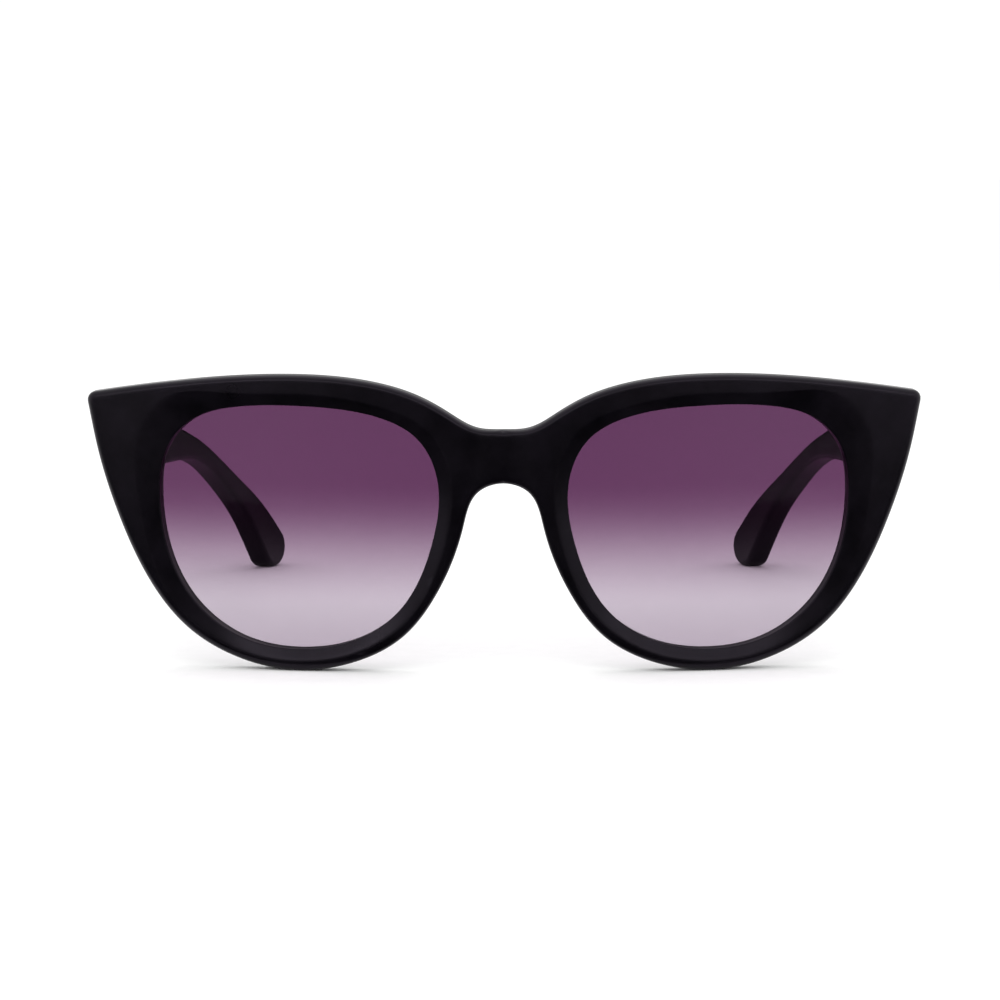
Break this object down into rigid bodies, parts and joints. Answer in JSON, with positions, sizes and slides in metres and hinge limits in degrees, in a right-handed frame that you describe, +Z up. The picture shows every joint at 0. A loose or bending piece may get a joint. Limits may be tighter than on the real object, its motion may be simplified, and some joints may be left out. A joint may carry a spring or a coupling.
{
  "type": "cat eye sunglasses",
  "caption": "Cat eye sunglasses: one-piece front with swept-up corners, graded tinted lenses, and hooked temples that fold on barrel hinges.",
  "frame": {"origin": "on the table under the middle of the open sunglasses, half way between the front and the temple tips", "axes": "+Z up, the front looks along -Y, +X is towards the wearer's left"},
  "size_m": [0.1454, 0.1409, 0.0515],
  "materials": {
    "acetate_front": "satin black acetate",
    "acetate_temple": "satin black acetate",
    "nose_pad": "polished black acetate",
    "lens": "graded purple tint, polished",
    "hinge_metal": "nickel silver, satin",
    "screw_steel": "bright steel",
    "core_wire": "drawn nickel silver",
    "nylon": "natural nylon"
  },
  "bodies": {
    "front": {"frame_front": "acetate_front", "lens_left": "lens", "lens_right": "lens", "nose_pad_left": "nose_pad", "nose_pad_right": "nose_pad", "front_hinge_leaf_left": "hinge_metal", "front_hinge_leaf_right": "hinge_metal", "front_leaf_screws_left": "screw_steel", "front_leaf_screws_right": "screw_steel", "hinge_screw_left": "screw_steel", "hinge_screw_right": "screw_steel", "hinge_washers_left": "nylon", "hinge_washers_right": "nylon"},
    "temple_left": {"temple_left": "acetate_temple", "temple_core_left": "core_wire", "temple_hinge_leaf_left": "hinge_metal", "temple_leaf_screws_left": "screw_steel"},
    "temple_right": {"temple_right": "acetate_temple", "temple_core_right": "core_wire", "temple_hinge_leaf_right": "hinge_metal", "temple_leaf_screws_right": "screw_steel"}
  },
  "joints": [
    {"name": "temple_left_fold", "type": "hinge", "parent": "front", "child": "temple_left", "pos_m": [0.0631, -0.04951, 0.03895], "axis": [0, 0.0958, 0.9954], "range_deg": [0, 84]},
    {"name": "temple_right_fold", "type": "hinge", "parent": "front", "child": "temple_right", "pos_m": [-0.0631, -0.04951, 0.03895], "axis": [0, -0.0958, -0.9954], "range_deg": [0, 73]}
  ]
}
